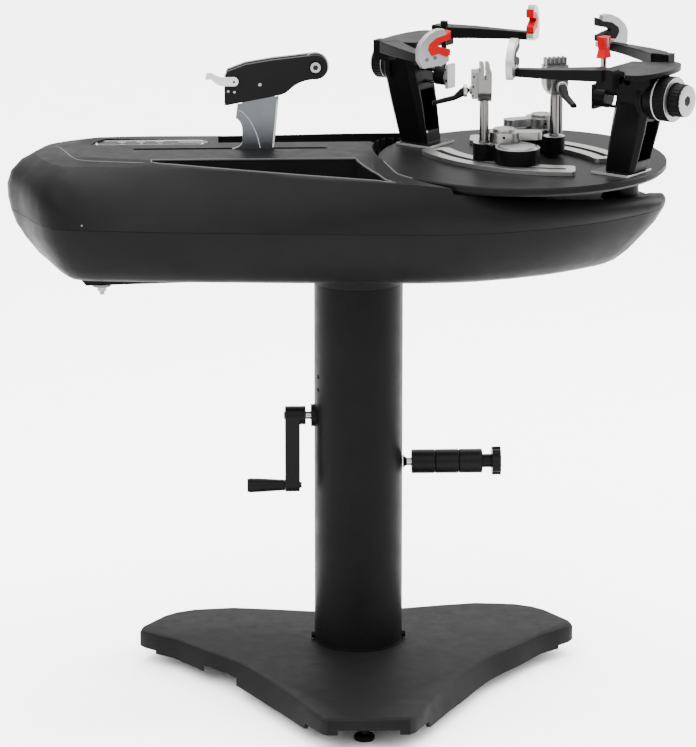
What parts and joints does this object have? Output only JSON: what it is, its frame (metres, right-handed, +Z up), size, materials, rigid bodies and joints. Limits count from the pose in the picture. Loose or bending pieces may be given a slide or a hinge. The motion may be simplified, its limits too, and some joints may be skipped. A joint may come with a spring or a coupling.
{
  "type": "racket stringing machine",
  "caption": "Floor-standing racket stringing machine: cranked column, boat-shaped head with tensioner, turntable with towers, side arms and swivel clamps.",
  "frame": {"origin": "middle of the bounding box at floor level, under the pads of the levelling feet", "axes": "+Z up, +X along the head from the tensioner to the turntable, +Y away from the operator"},
  "size_m": [1.0001, 0.5876, 1.0026],
  "materials": {
    "cast_base": "textured powder coat",
    "column_paint": "satin paint",
    "hull_plastic": "fine-grained moulding",
    "black_plastic": "matte moulding",
    "black_casting": "black coated casting",
    "disc_plate": "satin dark coat",
    "bright_steel": "polished",
    "brushed_steel": "brushed",
    "dark_steel": "oiled",
    "silver_casting": "satin casting",
    "red_rubber": "satin",
    "black_rubber": "satin",
    "white_plastic": "satin",
    "key_plastic": "matte",
    "panel_film": "printed film"
  },
  "bodies": {
    "stand": {"base_plate": "cast_base", "outer_column": "column_paint", "column_collar": "black_plastic", "reel_spindle": "bright_steel"},
    "foot_front": {"foot_front": "black_plastic"},
    "foot_rear_left": {"foot_rear_left": "black_plastic"},
    "foot_rear_right": {"foot_rear_right": "black_plastic"},
    "crank": {"crank_shaft": "bright_steel", "crank_arm": "black_casting"},
    "crank_grip": {"crank_grip": "black_plastic"},
    "reel_sleeve_1": {"reel_sleeve_1": "black_plastic"},
    "reel_sleeve_2": {"reel_sleeve_2": "black_plastic"},
    "reel_sleeve_3": {"reel_sleeve_3": "black_plastic"},
    "reel_star_knob": {"reel_star_knob": "black_plastic"},
    "head": {"inner_column": "column_paint", "lower_shell": "hull_plastic", "upper_shell": "hull_plastic", "under_plate": "column_paint", "chassis_beam": "dark_steel", "drive_motor": "dark_steel", "console_panel": "panel_film", "turntable_bearing": "dark_steel"},
    "drive_screw": {"drive_screw": "bright_steel"},
    "key_1": {"console_key_1": "key_plastic"},
    "key_2": {"console_key_2": "key_plastic"},
    "key_3": {"console_key_3": "key_plastic"},
    "carriage": {"tension_carriage": "dark_steel", "carriage_blade": "brushed_steel", "gripper_body": "black_casting"},
    "moving_jaw": {"moving_jaw": "brushed_steel"},
    "nose_roller": {"nose_roller": "brushed_steel"},
    "release_lever": {"release_lever": "white_plastic"},
    "turntable": {"turntable_disc": "disc_plate", "glide_rail_front": "bright_steel", "glide_rail_rear": "bright_steel", "tower_right": "black_casting", "tower_left": "black_casting"},
    "brake_knob": {"brake_knob": "black_plastic"},
    "arm_knob_right": {"side_arm_knob_right": "black_plastic"},
    "support_right": {"centre_support_right": "black_casting"},
    "arm_right_near": {"side_arm_right_near": "black_casting", "arm_pad_right_near": "black_rubber"},
    "arm_right_far": {"side_arm_right_far": "black_casting", "arm_pad_right_far": "black_rubber"},
    "arm_knob_left": {"side_arm_knob_left": "black_plastic"},
    "support_left": {"centre_support_left": "black_casting"},
    "arm_left_near": {"side_arm_left_near": "black_casting", "arm_pad_left_near": "red_rubber"},
    "arm_left_far": {"side_arm_left_far": "black_casting", "arm_pad_left_far": "red_rubber"},
    "support_knob": {"support_knob": "silver_casting"},
    "clamp_front": {"clamp_base_front": "black_casting"},
    "clamp_lock_front": {"clamp_lock_front": "silver_casting"},
    "clamp_post_front": {"clamp_head_front": "silver_casting"},
    "clamp_lever_front": {"clamp_lever_front": "black_plastic"},
    "clamp_rear": {"clamp_base_rear": "black_casting"},
    "clamp_lock_rear": {"clamp_lock_rear": "silver_casting"},
    "clamp_post_rear": {"clamp_head_rear": "silver_casting"},
    "clamp_lever_rear": {"clamp_lever_rear": "black_plastic"}
  },
  "joints": [
    {"name": "column_lift", "type": "slide", "parent": "stand", "child": "head", "axis": [0, 0, 1], "range_m": [0, 0.288]},
    {"name": "crank_turn", "type": "hinge", "parent": "stand", "child": "crank", "pos_m": [-0.0595, 0.079, 0.405], "axis": [1, 0, 0], "range_deg": [0, 1544]},
    {"name": "crank_grip_spin", "type": "hinge", "parent": "crank", "child": "crank_grip", "pos_m": [-0.11, 0.079, 0.296], "axis": [1, 0, 0], "continuous": true},
    {"name": "reel_sleeve_1_spin", "type": "hinge", "parent": "stand", "child": "reel_sleeve_1", "pos_m": [0.117, 0.079, 0.331], "axis": [1, 0, 0], "continuous": true},
    {"name": "reel_sleeve_2_spin", "type": "hinge", "parent": "stand", "child": "reel_sleeve_2", "pos_m": [0.1527, 0.079, 0.331], "axis": [1, 0, 0], "continuous": true},
    {"name": "reel_sleeve_3_spin", "type": "hinge", "parent": "stand", "child": "reel_sleeve_3", "pos_m": [0.1884, 0.079, 0.331], "axis": [1, 0, 0], "continuous": true},
    {"name": "star_knob_turn", "type": "hinge", "parent": "stand", "child": "reel_star_knob", "pos_m": [0.22, 0.079, 0.331], "axis": [1, 0, 0], "continuous": true},
    {"name": "foot_front_screw", "type": "slide", "parent": "stand", "child": "foot_front", "axis": [0, 0, 1], "range_m": [-0.012, 0]},
    {"name": "foot_rear_left_screw", "type": "slide", "parent": "stand", "child": "foot_rear_left", "axis": [0, 0, 1], "range_m": [-0.012, 0]},
    {"name": "foot_rear_right_screw", "type": "slide", "parent": "stand", "child": "foot_rear_right", "axis": [0, 0, 1], "range_m": [-0.012, 0]},
    {"name": "key_1_press", "type": "slide", "parent": "head", "child": "key_1", "axis": [0, 0, -1], "range_m": [0, 0.0007], "stiffness_N_per_m": 200, "springref_m": -0.001},
    {"name": "key_2_press", "type": "slide", "parent": "head", "child": "key_2", "axis": [0, 0, -1], "range_m": [0, 0.0007], "stiffness_N_per_m": 200, "springref_m": -0.001},
    {"name": "key_3_press", "type": "slide", "parent": "head", "child": "key_3", "axis": [0, 0, -1], "range_m": [0, 0.0007], "stiffness_N_per_m": 200, "springref_m": -0.001},
    {"name": "carriage_travel", "type": "slide", "parent": "head", "child": "carriage", "axis": [1, 0, 0], "range_m": [-0.135, 0.06]},
    {"name": "drive_screw_turn", "type": "hinge", "parent": "head", "child": "drive_screw", "pos_m": [-0.16, 0.109, 0.6926], "axis": [1, 0, 0], "range_deg": [-4865, 2165]},
    {"name": "jaw_close", "type": "slide", "parent": "carriage", "child": "moving_jaw", "axis": [0, -1, 0], "range_m": [0, 0.003], "stiffness_N_per_m": 600, "springref_m": -0.002},
    {"name": "nose_roller_spin", "type": "hinge", "parent": "carriage", "child": "nose_roller", "pos_m": [-0.044, 0.077, 0.9385], "axis": [0, 1, 0], "continuous": true},
    {"name": "release_lever_turn", "type": "hinge", "parent": "carriage", "child": "release_lever", "pos_m": [-0.164, 0.063, 0.9185], "axis": [0, 1, 0], "range_deg": [-30, 30]},
    {"name": "turntable_turn", "type": "hinge", "parent": "head", "child": "turntable", "pos_m": [0.262, 0.079, 0.798], "axis": [0, 0, 1], "continuous": true},
    {"name": "brake_knob_turn", "type": "hinge", "parent": "head", "child": "brake_knob", "pos_m": [0.406, 0.043, 0.76], "axis": [0, 0, 1], "range_deg": [-120, 120]},
    {"name": "arm_right_far_slide", "type": "slide", "parent": "turntable", "child": "arm_right_far", "axis": [0.6157, 0.788, 0], "range_m": [0, 0.035]},
    {"name": "arm_right_near_slide", "type": "slide", "parent": "turntable", "child": "arm_right_near", "axis": [0.6157, 0.788, 0], "range_m": [-0.035, 0]},
    {"name": "arm_knob_right_turn", "type": "hinge", "parent": "turntable", "child": "arm_knob_right", "pos_m": [0.45112, -0.06876, 0.916], "axis": [0.788, -0.6157, 0], "range_deg": [-91, 0]},
    {"name": "support_right_slide", "type": "slide", "parent": "turntable", "child": "support_right", "axis": [0.788, -0.6157, 0], "range_m": [-0.015, 0.006]},
    {"name": "arm_left_near_slide", "type": "slide", "parent": "turntable", "child": "arm_left_near", "axis": [-0.6157, -0.788, 0], "range_m": [0, 0.035]},
    {"name": "arm_left_far_slide", "type": "slide", "parent": "turntable", "child": "arm_left_far", "axis": [-0.6157, -0.788, 0], "range_m": [-0.035, 0]},
    {"name": "arm_knob_left_turn", "type": "hinge", "parent": "turntable", "child": "arm_knob_left", "pos_m": [0.07288, 0.22676, 0.916], "axis": [-0.788, 0.6157, 0], "range_deg": [-91, 0]},
    {"name": "support_left_slide", "type": "slide", "parent": "turntable", "child": "support_left", "axis": [-0.788, 0.6157, 0], "range_m": [-0.015, 0.006]},
    {"name": "support_knob_turn", "type": "hinge", "parent": "turntable", "child": "support_knob", "pos_m": [0.47476, -0.08723, 0.916], "axis": [0.788, -0.6157, 0], "range_deg": [-455, 185]},
    {"name": "clamp_front_glide", "type": "hinge", "parent": "turntable", "child": "clamp_front", "pos_m": [0.34511, 0.18538, 0.812], "axis": [0, 0, 1], "range_deg": [-8, 8]},
    {"name": "clamp_lock_front_turn", "type": "hinge", "parent": "clamp_front", "child": "clamp_lock_front", "pos_m": [0.2321, 0.04398, 0.838], "axis": [0, 0, 1], "range_deg": [0, 25]},
    {"name": "clamp_post_front_turn", "type": "hinge", "parent": "clamp_front", "child": "clamp_post_front", "pos_m": [0.2028, 0.03896, 0.86], "axis": [0, 0, 1], "range_deg": [-30, 30]},
    {"name": "clamp_lever_front_turn", "type": "hinge", "parent": "clamp_post_front", "child": "clamp_lever_front", "pos_m": [0.174, 0.03896, 0.908], "axis": [0, -1, 0], "range_deg": [-12, 12]},
    {"name": "clamp_rear_glide", "type": "hinge", "parent": "turntable", "child": "clamp_rear", "pos_m": [0.17889, -0.02738, 0.812], "axis": [0, 0, 1], "range_deg": [-8, 8]},
    {"name": "clamp_lock_rear_turn", "type": "hinge", "parent": "clamp_rear", "child": "clamp_lock_rear", "pos_m": [0.29663, 0.15093, 0.838], "axis": [0, 0, 1], "range_deg": [0, 25]},
    {"name": "clamp_post_rear_turn", "type": "hinge", "parent": "clamp_rear", "child": "clamp_post_rear", "pos_m": [0.31007, 0.08205, 0.86], "axis": [0, 0, 1], "range_deg": [-30, 30]},
    {"name": "clamp_lever_rear_turn", "type": "hinge", "parent": "clamp_post_rear", "child": "clamp_lever_rear", "pos_m": [0.31849, 0.05451, 0.908], "axis": [0.9563, 0.2924, 0], "range_deg": [-12, 12]}
  ],
  "couplings": [
    {"joint": "crank_turn", "follows": "column_lift", "rad_per_m": 93.5},
    {"joint": "drive_screw_turn", "follows": "carriage_travel", "rad_per_m": 628.32},
    {"joint": "arm_right_near_slide", "follows": "arm_right_far_slide", "ratio": -1},
    {"joint": "arm_knob_right_turn", "follows": "arm_right_far_slide", "rad_per_m": -44.444},
    {"joint": "arm_left_far_slide", "follows": "arm_left_near_slide", "ratio": -1},
    {"joint": "arm_knob_left_turn", "follows": "arm_left_near_slide", "rad_per_m": -44.444},
    {"joint": "support_knob_turn", "follows": "support_right_slide", "rad_per_m": 523.6}
  ]
}
